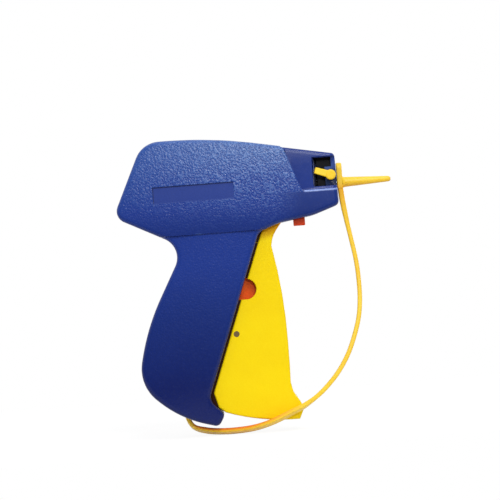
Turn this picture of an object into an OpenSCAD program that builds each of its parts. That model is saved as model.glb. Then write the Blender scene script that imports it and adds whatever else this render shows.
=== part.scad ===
// Garment tag attacher: a pistol-shaped hand tool whose trigger drives a push rod through a
// hollow needle, to carry plastic fasteners through cloth. Millimetres.
// +X is the way the needle points, +Z is up, and the two shells meet on the plane Y = 0.
// The origin is the deepest point of the throat behind the grip, where the hand sits.

/* [Body] */
// From the throat to the flat front face of the nose
nose_x = 82.3; // [78:0.1:100]
// From the throat back to the corner of the tail
tail_x = 30; // [26:0.5:36]
// Height of the top of the body above the throat
top_z = 57.9; // [56:0.1:66]
// Depth of the grip's foot below the throat
foot_z = 85.7; // [80:0.1:103]
// Width across both shells at the body
body_w = 28; // [27:0.1:34]
// Width across both shells at the grip
grip_w = 26; // [25:0.1:27]
// Wall of the moulded shells
wall = 2.2; // [1.8:0.02:2.7]
// Radius of the rolled rim of each shell
rim_r = 2.2; // [1.2:0.1:2.4]
// Height of the needle axis above the throat
axis_z = 31; // [30.5:0.1:31.5]

/* [Trigger] */
// Width across the trigger's two cheeks
trigger_w = 16; // [14:0.1:17]
// Thickness of the trigger's cheeks
cheek = 2; // [1.6:0.1:2.4]
// Thickness of the trigger's front web
web = 2.6; // [2:0.1:3.2]
// How far the trigger turns when it is squeezed, in degrees
squeeze = 20; // [16:0.5:21]
// Diameter of the trigger pin
trigger_pin_d = 4; // [3:0.1:5]
// Diameter of the link pin
link_pin_d = 3; // [2.4:0.1:3.6]
// Diameter of the drive lever's fulcrum pin
fulcrum_pin_d = 4; // [3:0.1:5]
// Thickness of the drive lever
lever_t = 6; // [4:0.1:7.2]
// How far the drive lever turns for a full squeeze, in degrees
lever_turn = 57; // [54:1:60]

/* [Slide and needle] */
// How far the push rod travels
stroke = 44; // [40:0.5:45]
// Length of the slider
slider_l = 24; // [20:0.5:28]
// Height of the slider
slider_h = 8; // [7:0.1:9]
// Diameter of the slider's cross pin
slider_pin_d = 3; // [2.4:0.1:3.6]
// Diameter of the push rod
rod_d = 1; // [0.8:0.02:1.2]
// Outer diameter of the needle
needle_d = 1.9; // [1.8:0.02:2]
// Bore of the needle
needle_bore = 1.3; // [1.26:0.02:1.4]
// How far the needle stands out of the nose
needle_out = 22.9; // [20:0.1:23.4]
// Length of the clip slot along the barrel
clip_l = 9.8; // [9:0.1:10]
// Width of the clip slot across the barrel
clip_w = 5.2; // [5:0.1:5.6]

/* [Cap and strap] */
// Length of the cap's tube
cap_l = 23.2; // [22:0.1:28]
// Diameter of the cap's tube at its root
cap_root_d = 5.2; // [5:0.1:6]
// Diameter of the cap's tube at its tip
cap_tip_d = 2.8; // [2.8:0.1:3.4]
// Width of the strap
strap_w = 5.6; // [4.8:0.1:6.6]
// Thickness of the strap
strap_t = 2.4; // [1.8:0.1:2.8]

/* [Fits] */
// Radial clearance of a pin in a bore that turns on it
run_gap = 0.06; // [0.04:0.01:0.09]
// Clearance between sliding and swinging pieces
side_gap = 0.3; // [0.25:0.05:0.4]

/* [Hidden] */
$fn = 48;
far = 60;

blue = "#2d4696";
yellow = "#f7dc0f";
orange = "#f0641e";
red = "#cd371e";
black = "#18181a";
steel = "#b4b8bc";
warm_yellow = "#f0cd3c";

// ---- Plane geometry: every drawing is in X and Z ----
// Front edge of the grip, a straight line that leans forward as it rises
grip_lean = 0.3783;
grip_front_x0 = 38.0;
function grip_x(z) = grip_front_x0 + grip_lean * z;

function left_of(v) = [-v[1], v[0]];
function unit(v) = v / norm(v);
function flat(p) = [p[0], p[1]];
// p turned about c by a degrees, positive as seen along +Y: tops go to +X
function turned(p, c, a) =
    let (x = p[0] - c[0], z = p[1] - c[1])
    [c[0] + x * cos(a) + z * sin(a), c[1] - x * sin(a) + z * cos(a)];

// One corner [x, z, radius] of a counter-clockwise path, moved d inwards and drawn as an arc,
// with coarser steps the smaller its radius is
function arc_step(r) = r < 4 ? 30 : r < 30 ? 15 : 5;
function corner(path, i, d) =
    let (n = len(path),
         q = flat(path[i]),
         u = unit(q - flat(path[(i + n - 1) % n])),
         v = unit(flat(path[(i + 1) % n]) - q),
         a = acos(max(-1, min(1, u * v))),
         s = sign(u[0] * v[1] - u[1] * v[0]),
         r = max(0.05, path[i][2] - s * d),
         c = q + d * (left_of(u) + left_of(v)) / (1 + u * v),
         start = c - u * r * tan(a / 2),
         hub = start + s * r * left_of(u),
         k = max(1, ceil(a / arc_step(path[i][2]))))
    [for (j = [0 : k]) hub + rot2(start - hub, s * a * j / k)];
function rot2(v, a) = [v[0] * cos(a) - v[1] * sin(a), v[0] * sin(a) + v[1] * cos(a)];
function ring(path, d = 0) = [for (i = [0 : len(path) - 1]) each corner(path, i, d)];

// Slot outline of half width r along a list of points
function slot_line(p, r, n = 8) =
    let (m = len(p) - 1,
         dir = [for (i = [0 : m]) unit(p[min(i + 1, m)] - p[max(i - 1, 0)])])
    [each [for (i = [0 : m]) p[i] - r * left_of(dir[i])],
     each [for (j = [1 : n - 1]) p[m] + r * rot2(-left_of(dir[m]), 180 * j / n)],
     each [for (i = [m : -1 : 0]) p[i] + r * left_of(dir[i])],
     each [for (j = [1 : n - 1]) p[0] + r * rot2(left_of(dir[0]), 180 * j / n)]];

// ---- Solid helpers ----
// A drawing in X and Z, made solid from y0 to y1
module slab(y0, y1) {
    translate([0, y1, 0]) rotate([90, 0, 0]) linear_extrude(y1 - y0) children();
}
module rod_y(p, d, y0, y1) {
    translate([p[0], y0, p[1]]) rotate([-90, 0, 0]) cylinder(d = d, h = y1 - y0);
}
module rod_x(x0, x1, y, z, d) {
    translate([x0, y, z]) rotate([0, 90, 0]) cylinder(d = d, h = x1 - x0);
}
module block(lo, hi) {
    translate(lo) cube(hi - lo);
}
// A bar of round ends between two points, from y0 to y1
module bar(p, q, w, y0, y1) {
    slab(y0, y1) polygon(slot_line([p, q], w / 2));
}
// Rings of points joined into one closed skin. Each ring has the same number of points and
// turns clockwise about the way that the rings follow each other.
module skin(rings) {
    n = len(rings[0]);
    m = len(rings) - 1;
    sides = [for (k = [0 : m - 1]) for (i = [0 : n - 1])
        let (a = k * n + i, b = k * n + (i + 1) % n)
        each [[a, b, b + n], [a, b + n, a + n]]];
    polyhedron([for (r = rings) each r],
               [[for (i = [n - 1 : -1 : 0]) i], each sides, [for (i = [0 : n - 1]) m * n + i]],
               convexity = 8);
}
// A polygon with every edge moved d inwards, so that each edge stays parallel to itself
function inset(p, d) =
    let (n = len(p))
    [for (i = [0 : n - 1])
        let (u = left_of(unit(p[i] - p[(i + n - 1) % n])), v = left_of(unit(p[(i + 1) % n] - p[i])))
        p[i] + d * (u + v) / (1 + u * v)];
// Half of a moulding on the +Y side: the full outline at the parting plane, rolled over at
// the rim. The rolled frame is closed on itself, and a plain plug fills it.
module rolled_half(outline, half) {
    n = len(outline);
    band = rim_r + 0.5;
    bend = [for (a = [0 : 30 : 90]) [rim_r * (1 - cos(a)), half - rim_r * (1 - sin(a))]];
    rows = concat([[band, 0], [0, 0]], bend, [[band, half]]);
    m = len(rows);
    polyhedron([for (r = rows) each [for (p = inset(outline, r[0])) [p[0], r[1], p[1]]]],
               [for (k = [0 : m - 1]) for (i = [0 : n - 1])
                   [k * n + i, k * n + (i + 1) % n, (k + 1) % m * n + (i + 1) % n, (k + 1) % m * n + i]],
               convexity = 8);
    slab(0, half) polygon(inset(outline, band - 0.2));
}
// Round wire of diameter d along points, with a steady frame
module wire(p, d, sides) {
    m = len(p) - 1;
    t = [for (i = [0 : m]) unit(p[min(i + 1, m)] - p[max(i - 1, 0)])];
    function frame(i, n) = i == 0 ? unit(cross(t[0], cross(n, t[0]))) : unit(n - (n * t[i]) * t[i]);
    n0 = frame(0, abs(t[0] * [0, 0, 1]) > 0.9 ? [1, 0, 0] : [0, 0, 1]);
    n = [for (i = 0, v = n0; i <= m; i = i + 1, v = i <= m ? frame(i, v) : v) v];
    skin([for (i = [0 : m]) let (b = cross(t[i], n[i]))
        [for (k = [0 : sides - 1]) p[i] + d / 2 * (cos(360 * k / sides) * n[i] - sin(360 * k / sides) * b)]]);
}

// ---- Outline of both shells ----
step_z = 10.1;
lip_x = grip_x(-foot_z + 13.2);
grip_lip = [lip_x + 7.6, -foot_z + 6.1];
shell_path = [
    [lip_x + 4, -foot_z, 3], [grip_lip[0], grip_lip[1], 3], [lip_x, -foot_z + 13.2, 6],
    [grip_x(9), 9, 5], [51, 12.8, 20], [nose_x - 12.8, 15.6, 20],
    [nose_x, 19.9, 3], [nose_x - 0.4, top_z - 12, 3], [20.8, top_z, 230], [-13.1, top_z, 13],
    [-tail_x, 21.8, 6], [3.74, 4.5, 10], [-17.3, -33.7, 115],
    [lip_x - 34.6, -foot_z + 23.3, 20], [lip_x - 14.4, -foot_z + 5, 56]];

// ---- Trigger and its linkage ----
pivot = [52.8, 18];
link = [26.6, -40.5];
fulcrum = [21.7, -9.6];
notch = turned(fulcrum, pivot, -squeeze);
notch_r = 5.1;
boss_r = 4.6;
trigger_r = norm(grip_lip - pivot) - 0.6;
cheek_y = trigger_w / 2;
lever_y = lever_t / 2;
rear_gap = 1.1;
lip_w = 2.2;

// Lower end of the trigger's front, on the arc that its bottom edge follows
function on_arc(a) = pivot + trigger_r * [cos(a), sin(a)];
toe_a = -88.8;
heel_a = atan2(grip_lip[1] + 0.4 - pivot[1], grip_lip[0] - pivot[0]);
function front_x(z) = 51.9 - 0.0021 * pow(max(0, z + 45), 2);
heel = [grip_x(-foot_z + 16.9) + rear_gap, -foot_z + 16.9];
trigger_front = [for (z = [2, -10, -22, -34, -46, -58]) [front_x(z), z]];
trigger_arc = [for (k = [0 : 8]) on_arc(toe_a + (heel_a - toe_a) * k / 8)];
trigger_outline = [
    each [for (a = [150 : -20 : 10]) pivot + 6 * [cos(a), sin(a)]],
    [56.2, 15.2], [52.9, 13.0], [51.5, 11.3], [50.2, 9.6], [48.8, 7.4], [47.9, 5.2],
    each trigger_front,
    [51.7, -foot_z + 19.3], [52.8, -foot_z + 14.2], [55.8, -foot_z + 9.4], [57.4, -foot_z + 6.1],
    each trigger_arc,
    [lip_x + 4.4, -foot_z + 9.3], heel,
    [grip_x(-6) + rear_gap, -6], [grip_x(4) + rear_gap, 4]];

// Law of the drive lever and the slider: both follow the trigger in proportion
slide_x0 = fulcrum[0] - stroke / 2;
function link_in_lever(t) =
    turned(turned(link, pivot, squeeze * t), fulcrum, -lever_turn * t);
function slide_in_lever(t) =
    turned([slide_x0 + stroke * t, axis_z], fulcrum, -lever_turn * t);
law_steps = 5;
slot_gap = 0.15;
link_path = [for (k = [0 : 2 * law_steps]) link_in_lever(k / law_steps / 2)];
// The slider's pin goes down its slot in the first half of the stroke and up again in the second
slide_down = [for (k = [0 : law_steps]) slide_in_lever(k / law_steps / 2)];
slide_up = [for (k = [law_steps : 2 * law_steps]) slide_in_lever(k / law_steps / 2)];

// ---- Nose ----
nose_half = 12;
nose_z0 = 28.4;
clip_x0 = nose_x - 21.1;
clip_x1 = clip_x0 + clip_l;
guide_wall = 0.8;
base_x0 = nose_x - 9.7;
base_half = 5;
base_h = 10;
lock_at = [nose_x - 3.1, 35];
lock_r = 2.6;
lock_floor = 9.5;
// Window beside the needle lock, and the nose's wall in front of the needle base
window_x0 = nose_x - 11.1;
window_z0 = 29.6;
window_z1 = 43.9;
front_wall = 1.9;
cavity_x1 = clip_x0 - 3.7;
body_inner = body_w / 2 - wall;
grip_inner = grip_w / 2 - wall;
wheel_at = [clip_x0 + 4.8, 6.2, 38];
wheel_r = 4;
wheel_teeth = 10;
rocker_at = [cavity_x1 - 4.5, 44];
release_x = clip_x0 - 2.3;
release_y0 = -10;
release_y1 = -6.2;
release_w = 6;
// Foot, flange and room of the release button, in height, and how far its flange stands forward
release_z0 = 10.9;
release_flange_z0 = 19;
release_flange_z1 = 20.4;
release_top = 24.8;
release_flange = 0.6;
strap_end = [lip_x - 11.5, -foot_z + 9.7];
screw_at = [[-14, top_z - 9.5], [43, top_z - 9.6], [-21, 27], [-9.5, -27], [lip_x - 22.9, -foot_z + 17.4]];
spring_z = -foot_z + 29.7;

// ---- Shells ----
spring_seat_x = lip_x - 30.2;
module half_hollow() {
    slab(-1, grip_inner) intersection() {
        polygon(ring(shell_path, wall));
        translate([-far, -2 * far]) square([far + cavity_x1, 4 * far]);
    }
    slab(-1, body_inner) intersection() {
        polygon(ring(shell_path, wall));
        translate([-far, step_z + 1]) square([far + cavity_x1, far]);
    }
    // The open front, where the trigger swings in
    slab(-1, cheek_y + side_gap + 0.2) polygon([
        each [for (a = [heel_a - 12 : 3 : heel_a + 3]) pivot + (trigger_r + side_gap) * [cos(a), sin(a)]],
        [grip_x(8) + 3, 8], [pivot[0] + 6.6, 8], pivot + [6.6, 6.4], [40, pivot[1] + 6.4],
        [grip_x(0) - 6, 0], [lip_x - 4, -foot_z + 22]]);
}
module half_ribs() {
    rib_y = 4.6;
    rib_x0 = slide_x0 - slider_l / 2 - 1.5;
    for (z = [axis_z - slider_h / 2 - side_gap - 2, axis_z + slider_h / 2 + side_gap])
        block([rib_x0, rib_y, z], [cavity_x1 + 0.3, body_inner + 0.3, z + 2]);
    block([rib_x0 - 2, rib_y, axis_z - slider_h / 2], [rib_x0, body_inner + 0.3, axis_z + slider_h / 2]);
    rod_y(pivot, trigger_pin_d + 5, cheek_y + side_gap, body_inner + 0.3);
    rod_y(fulcrum, 2 * boss_r, lever_y + side_gap, grip_inner + 0.3);
    for (p = screw_at) rod_y(p, 6, 0, (p[1] > step_z ? body_inner : grip_inner) + 0.3);
    // Seat of the return spring
    intersection() {
        rod_x(spring_seat_x - 1.5, spring_seat_x, 0, spring_z, 11);
        block([-far, 0, -2 * far], [0, far, 0]);
    }
}
module half_cuts() {
    rod_y(pivot, trigger_pin_d, -1, body_inner + 1.2);
    rod_y(fulcrum, fulcrum_pin_d, -1, grip_inner + 1.2);
    // Nose: clip guide, needle base, rod way
    block([clip_x0 - guide_wall - 0.1, -1, 0], [clip_x1 + guide_wall + 0.1, base_half + 0.1, top_z]);
    block([clip_x1 + guide_wall, -1, axis_z - base_h / 2 - 0.1],
          [nose_x + 1, base_half + 0.1, axis_z + base_h / 2 + 0.1]);
    rod_x(cavity_x1 - 1, clip_x0, 0, axis_z, rod_d + 0.6);
    // Way of the strap into the foot
    translate([strap_end[0], 0, strap_end[1]]) cube([strap_t + 0.6, strap_w + 0.6, 12], center = true);
    // Step down to the thinner nose
    slab(nose_half, far) polygon([[nose_x - 28.7, top_z], [nose_x - 18.3, nose_z0 + 0.8],
                                  [nose_x - 17, nose_z0], [nose_x + 9, nose_z0], [nose_x + 9, top_z]]);
    slab(-1, far) polygon([[nose_x - 26.9, top_z - 7.4], [nose_x + 2, top_z - 13.0], [nose_x + 2, top_z],
                           [nose_x - 27.3, top_z]]);
    // The grip's sides lie deeper than the body's
    slab(grip_w / 2, far) translate([-far, -2 * far]) square([far + 44.5, 2 * far + step_z]);
}
// The half on the +Y side, with all that both shells share
module half_shell() {
    difference() {
        union() {
            difference() {
                rolled_half(ring(shell_path), body_w / 2);
                half_hollow();
            }
            half_ribs();
        }
        half_cuts();
    }
}
module right_shell() {
    color(blue) difference() {
        mirror([0, 1, 0]) half_shell();
        // Label pocket, deepest along its top edge
        translate([-9.6, 0, 0]) rotate([90, 0, 90]) linear_extrude(40.2)
            polygon([[-body_w / 2, 26.3], [-body_w / 2 + 1, 35.1], [-far, 35.1], [-far, 26.3]]);
        // Recess of the needle lock, and the window that shows the needle base
        block([window_x0 - 0.8, -far, window_z0], [nose_x + 1, -lock_floor, window_z1 + 0.3]);
        block([window_x0, -far, window_z0], [nose_x - 5.8, -base_half, window_z1]);
        block([window_x0, -far, lock_at[1] + lock_r + 1.5], [nose_x - 2.6, -base_half, window_z1]);
        // Pocket of the needle base's upper part
        block([clip_x1 + guide_wall, -base_half - 0.1, axis_z], [nose_x - front_wall, 1, window_z1 + 0.1]);
        rod_y(lock_at, 3.4 + 2 * run_gap, -far, 0);
        // Way of the release button and its spring
        for (way = [[0, 0], [release_flange_z0 - 0.3, release_flange]])
            block([release_x - 0.2, release_y0 - 0.2, way[0]],
                  [release_x + release_w + 0.2 + way[1], release_y1 + 0.2, release_top]);
        for (p = screw_at) rod_y(p, 2, -body_inner, 1);
    }
}
module left_shell() {
    color(blue) difference() {
        half_shell();
        for (p = screw_at) {
            rod_y(p, 2.6, -1, far);
            rod_y(p, 5.2, screw_seat, far);
        }
        rod_y(lock_at, 3.4 + 2 * run_gap, 0, base_half + 3);
        // Slot through which the fastener's thread leaves
        block([clip_x0 - 0.1, 0, axis_z - 0.7], [nose_x + 1, far, axis_z + 0.7]);
        // Pocket of the feed wheel, its shaft and the index spring
        block([clip_x0 - 0.1, base_half, wheel_at[2] - wheel_r - 0.4],
              [clip_x1 + 0.1, wheel_at[1] + wheel_r + 0.5, wheel_at[2] + wheel_r + 0.9]);
        rod_x(clip_x0 - 2, clip_x1 + 1.2, wheel_at[1], wheel_at[2], 2);
        // Way of the feed rocker
        block([cavity_x1 - 1, 6.1, 39], [clip_x0, 8.7, 47.4]);
        rod_y(rocker_at, 3 + 2 * run_gap, 5, body_inner + 1.2);
    }
}
screw_seat = 8;
module housing_screws() {
    color(steel) for (p = screw_at) difference() {
        union() {
            rod_y(p, 2, -body_inner + 1, screw_seat + 0.5);
            rod_y(p, 4.6, screw_seat, screw_seat + 1.8);
        }
        translate([p[0], screw_seat + 1.2, p[1]]) for (a = [0, 90]) rotate([0, a, 0])
            translate([-1.4, 0, -0.3]) cube([2.8, 2, 0.6]);
    }
}

// ---- Trigger ----
module trigger() {
    color(yellow) difference() {
        union() {
            slab(-cheek_y, cheek_y) polygon(trigger_outline);
            // Thinner lips that lie behind the grip's front edge and close the gap to it
            slab(-cheek_y + cheek / 2, cheek_y - cheek / 2) polygon([
                heel + [0.5, 0], [grip_x(2) + rear_gap + 0.5, 2], [grip_x(2) + rear_gap - lip_w, 2],
                heel + [-lip_w, 0.5], [lip_x + 4.4 - lip_w, -foot_z + 9.9], [lip_x + 4.8, -foot_z + 9.5]]);
        }
        // Inside of the channel
        slab(-cheek_y + cheek, cheek_y - cheek) difference() {
            polygon([each [for (p = trigger_front) p - [web, 0]], [front_x(-66) - web, -foot_z + 12.7],
                     [50.8, -foot_z + 6], [51, -foot_z - 4], [0, -foot_z - 4], [0, 40], [60, 40], [60, 21],
                     [46, 12], [45.9, 6]]);
            translate(pivot) circle(r = 5);
        }
        rod_y(pivot, trigger_pin_d + 2 * run_gap, -far, far);
        rod_y(link, link_pin_d, -far, far);
        // Notch for the fulcrum's boss, open to the rear and flared upwards
        for (z = [0, 6])
            slab(-far, far) polygon(slot_line([notch, notch + [-12, z]], notch_r));
    }
}
module trigger_pin() {
    color(steel) rod_y(pivot, trigger_pin_d, -body_inner - 1.2, body_inner + 1.2);
}
module link_pin() {
    color(steel) rod_y(link, link_pin_d, -cheek_y, cheek_y);
}
module fulcrum_pin() {
    color(steel) rod_y(fulcrum, fulcrum_pin_d, -grip_inner - 1, grip_inner + 1);
}
module drive_lever() {
    lobe = notch + [0.2, -0.3];
    lobe_r = notch_r + 1.05;
    color(orange) slab(-lever_y, lever_y) difference() {
        union() {
            translate(fulcrum) circle(r = 6);
            polygon(slot_line([fulcrum, slide_down[0]], slider_pin_d / 2 + 2.6));
            polygon(slot_line(link_path, link_pin_d / 2 + 2.6));
            polygon([fulcrum + [-5, -3], link_path[0] + [-4, 2], link_path[0] + [3.6, 0],
                     lobe + lobe_r * [0.94, -0.34], lobe + lobe_r * [0.46, 0.88], fulcrum + [4, 4.4]]);
            translate(lobe) circle(r = lobe_r);
        }
        translate(fulcrum) circle(d = fulcrum_pin_d + 2 * run_gap);
        for (way = [slide_down, slide_up])
            polygon(slot_line(way, slider_pin_d / 2 + slot_gap));
        polygon(slot_line(link_path, link_pin_d / 2 + slot_gap));
    }
}
module return_spring() {
    turns = 13;
    per = 10;
    x1 = front_x(spring_z) - web - side_gap;
    x0 = spring_seat_x + side_gap;
    wire_d = 1;
    coil_r = 4.2;
    color(steel) wire([for (k = [0 : turns * per]) let (t = k / (turns * per), a = 360 * k / per)
        [x0 + wire_d / 2 + (x1 - x0 - wire_d) * t, coil_r * cos(a), spring_z + coil_r * sin(a)]], wire_d, 6);
}

// ---- Slider and needle ----
module slider() {
    x = slide_x0;
    h = slider_h / 2;
    color(black) difference() {
        union() {
            block([x - slider_l / 2, -6, axis_z - h], [x + slider_l / 2, 6, axis_z + h]);
            rod_x(x, x + slider_l / 2 + 1.2, 0, axis_z, 5);
        }
        block([x - 9, -lever_y - side_gap, axis_z - h - 1], [x + 9, lever_y + side_gap, axis_z + h + 1]);
        rod_y([x, axis_z], slider_pin_d, -far, far);
        rod_x(x + 9.5, x + slider_l, 0, axis_z, rod_d);
        for (s = [-1, 1]) translate([x, s * 6, axis_z + h])
            cube([slider_l - 5, 2, 1.6], center = true);
    }
}
module slider_pin() {
    color(steel) rod_y([slide_x0, axis_z], slider_pin_d, -6, 6);
}
rod_tip = clip_x0 - 0.4;
module push_rod() {
    color(steel) rod_x(slide_x0 + 10, rod_tip, 0, axis_z, rod_d);
}
module needle() {
    tip = nose_x + needle_out;
    color(steel) difference() {
        rod_x(base_x0 + 0.5, tip, 0, axis_z, needle_d);
        rod_x(base_x0, tip + 1, 0, axis_z, needle_bore);
        block([base_x0, 0, axis_z - 0.35], [tip + 1, 2, axis_z + 0.35]);
        // Slanted point
        translate([tip, 0, axis_z - needle_d / 2]) rotate([0, 30, 0]) translate([0, -2, -4]) cube([4, 4, 12]);
    }
}
module needle_base() {
    h = base_h / 2;
    color(black) difference() {
        union() {
            block([base_x0 + 0.1, -base_half, axis_z - h], [nose_x - 0.4, base_half, axis_z + h]);
            rod_x(nose_x - 1, nose_x, 0, axis_z, 4.4);
        }
        rod_x(base_x0, nose_x + 1, 0, axis_z, needle_d);
        block([base_x0, 0, axis_z - 0.5], [nose_x + 1, base_half + 1, axis_z + 0.5]);
        rod_y(lock_at, 3.2 + 2 * side_gap, -far, far);
        block([lock_at[0] - 1.9, -far, lock_at[1]], [lock_at[0] + 1.9, far, far]);
    }
    color(black) difference() {
        block([base_x0 + 0.1, -base_half, axis_z + h], [nose_x - front_wall - 0.1, 0, window_z1]);
        rod_y(lock_at, 3.2 + 2 * side_gap, -far, far);
    }
}
module needle_lock() {
    arm = lock_at + [-6.6, 2.3];
    color(yellow) {
        rod_y(lock_at, 2 * lock_r, -lock_floor - 2.2, -lock_floor - side_gap + 0.1);
        bar(lock_at, arm, 3.3, -lock_floor - 1.9, -lock_floor - side_gap + 0.1);
        rod_y(lock_at, 3.2, -lock_floor - 1, base_half + 2.6);
    }
}
module clip_guide() {
    x0 = clip_x0 - guide_wall;
    x1 = clip_x1 + guide_wall;
    z1 = top_z - 8.9;
    color(black) difference() {
        slab(-base_half, base_half) polygon([[x0, 16.4], [x1, 17.6], [x1, z1 - 2.6], [x0, z1 - 0.6]]);
        block([clip_x0, -clip_w / 2, 0], [clip_x1, clip_w / 2, far]);
        rod_x(x0 - 1, x1 + 1, 0, axis_z, rod_d + 0.6);
        block([clip_x0, 0, axis_z - 0.7], [x1 + 1, far, axis_z + 0.7]);
        block([wheel_at[0] - 2, 0, wheel_at[2] - wheel_r - side_gap],
              [wheel_at[0] + 2, far, wheel_at[2] + wheel_r + side_gap]);
    }
}
module feed_wheel() {
    color("#e9e7e0") difference() {
        translate([wheel_at[0] - 1.5, wheel_at[1], wheel_at[2]]) rotate([90, 0, 90]) linear_extrude(3)
            polygon([for (k = [0 : wheel_teeth - 1]) let (a = 360 * k / wheel_teeth, b = 360 / wheel_teeth)
                each [(wheel_r - 1.2) * [cos(a), sin(a)], wheel_r * [cos(a + 0.7 * b), sin(a + 0.7 * b)],
                      wheel_r * [cos(a + 0.9 * b), sin(a + 0.9 * b)]]]);
        rod_x(0, 2 * nose_x, wheel_at[1], wheel_at[2], 2 + 2 * run_gap);
    }
}
module feed_shaft() {
    color(steel) rod_x(clip_x0 - 1.8, clip_x1 + 1, wheel_at[1], wheel_at[2], 2);
}
module index_spring() {
    z = wheel_at[2] + wheel_r + 0.45;
    color(steel) slab(base_half + 0.2, wheel_at[1] + 1.5)
        polygon(slot_line([[clip_x0 + 0.3, z], [clip_x1 - 0.3, z]], 0.2, 4));
}
module feed_rocker() {
    p = rocker_at;
    tip = [clip_x0 - 1, 41];
    color(orange) {
        bar(p, tip, 2.4, 6.4, 8.4);
        bar(p, p - [7, 2.4], 2.4, 6.4, 8.4);
        rod_y(p, 5, 6.4, 8.4);
        rod_y(p, 3, 6.4, body_inner + 1);
    }
}

// ---- Release button ----
module release_button() {
    x1 = release_x + release_w;
    color(red) {
        block([release_x + 0.1, release_y0, release_z0], [x1 - 0.1, release_y1, release_flange_z0]);
        block([release_x + 0.1, release_y0, release_flange_z0],
              [x1 + release_flange, release_y1, release_flange_z1]);
    }
}
module release_spring() {
    turns = 5;
    per = 10;
    coil_r = 1.4;
    wire_d = 0.4;
    z0 = release_flange_z1 + 0.55;
    z1 = release_top - 0.55;
    x = release_x + release_w / 2;
    y = (release_y0 + release_y1) / 2;
    color(steel) wire([for (k = [0 : turns * per]) let (a = 360 * k / per)
        [x + coil_r * cos(a), y + coil_r * sin(a), z0 + (z1 - z0) * k / (turns * per)]], wire_d, 5);
}

// ---- Cap and strap ----
cap_x0 = nose_x + 0.4;
tab_t = 2.5;
module needle_cap() {
    color(warm_yellow) difference() {
        union() {
            translate([cap_x0 + tab_t - 0.5, 0, axis_z]) rotate([0, 90, 0])
                cylinder(d1 = cap_root_d, d2 = cap_tip_d, h = cap_l);
            translate([cap_x0 + tab_t - 0.5 + cap_l, 0, axis_z]) sphere(d = cap_tip_d);
            translate([cap_x0, 0, 0]) rotate([90, 0, 90]) linear_extrude(tab_t) union() {
                translate([-strap_w / 2, 28]) square([strap_w, 10]);
                translate([0, 38]) circle(d = strap_w);
            }
        }
        rod_x(cap_x0 - 1, nose_x + needle_out + 0.6, 0, axis_z, needle_d + 0.3);
        rod_x(cap_x0 - 1, cap_x0 + 1.2, 0, axis_z, 4.8);
    }
}
strap_way = [
    [cap_x0 + tab_t / 2, 0, 27.7], [nose_x + 2.2, 0, 21], [nose_x + 3.4, -0.3, 12], [nose_x + 5, -0.8, 2],
    [nose_x + 6.5, -1.6, -8], [nose_x + 7.1, -3, -18], [nose_x + 6.8, -5, -28.4], [nose_x + 5.1, -7.4, -38.3],
    [83.2, -9.4, -foot_z + 35.7], [79, -10.6, -foot_z + 27.7], [73.5, -11.4, -foot_z + 20.3],
    [65.9, -11.8, -foot_z + 12.9], [57.5, -11.8, -foot_z + 7], [50.7, -11.9, -foot_z + 3.9],
    [lip_x + 30.8, -11.4, -foot_z + 0.1], [lip_x + 22.2, -8, -foot_z - 2.3],
    [lip_x + 14, -5.5, -foot_z - 3.2], [lip_x + 5.4, -3, -foot_z - 3.3], [lip_x - 2.6, -1, -foot_z - 2.4],
    [lip_x - 8.6, 0, -foot_z], [strap_end[0], 0, strap_end[1] - 4.6], [strap_end[0], 0, strap_end[1] + 0.4]];
// Smooth curve through the points
function spline(p, i, t) =
    let (n = len(p) - 1, a = p[max(0, i - 1)], b = p[i], c = p[min(n, i + 1)], d = p[min(n, i + 2)])
    0.5 * (2 * b + (c - a) * t + (2 * a - 5 * b + 4 * c - d) * t * t + (3 * b - a - 3 * c + d) * t * t * t);
module cap_strap() {
    per = 3;
    m = len(strap_way) - 1;
    line = [for (i = [0 : m - 1]) each [for (k = [0 : per - 1]) spline(strap_way, i, k / per)], strap_way[m]];
    n = len(line) - 1;
    c = 0.5;
    w = strap_w / 2;
    h = strap_t / 2;
    section = [[w, h - c], [w - c, h], [c - w, h], [-w, h - c],
               [-w, c - h], [c - w, -h], [w - c, -h], [w, c - h]];
    color(warm_yellow) {
        skin([for (i = [0 : n])
            let (t = unit(line[min(i + 1, n)] - line[max(i - 1, 0)]),
                 y = unit([0, 1, 0] - t[1] * t),
                 z = cross(t, y))
            [for (q = section) line[i] + q[0] * y - q[1] * z]]);
        translate([strap_end[0], 0, strap_end[1] + 1.2]) cube([strap_t + 3, strap_w + 2.4, 2], center = true);
    }
}

right_shell();
left_shell();
housing_screws();
trigger();
trigger_pin();
link_pin();
drive_lever();
fulcrum_pin();
return_spring();
slider();
slider_pin();
push_rod();
needle();
needle_base();
needle_lock();
clip_guide();
feed_wheel();
feed_shaft();
index_spring();
feed_rocker();
release_button();
release_spring();
needle_cap();
cap_strap();
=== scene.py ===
import math
from contextlib import contextmanager

import bmesh
import bpy
import numpy as np
from mathutils import Matrix, Vector
from mathutils.geometry import delaunay_2d_cdt


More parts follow.
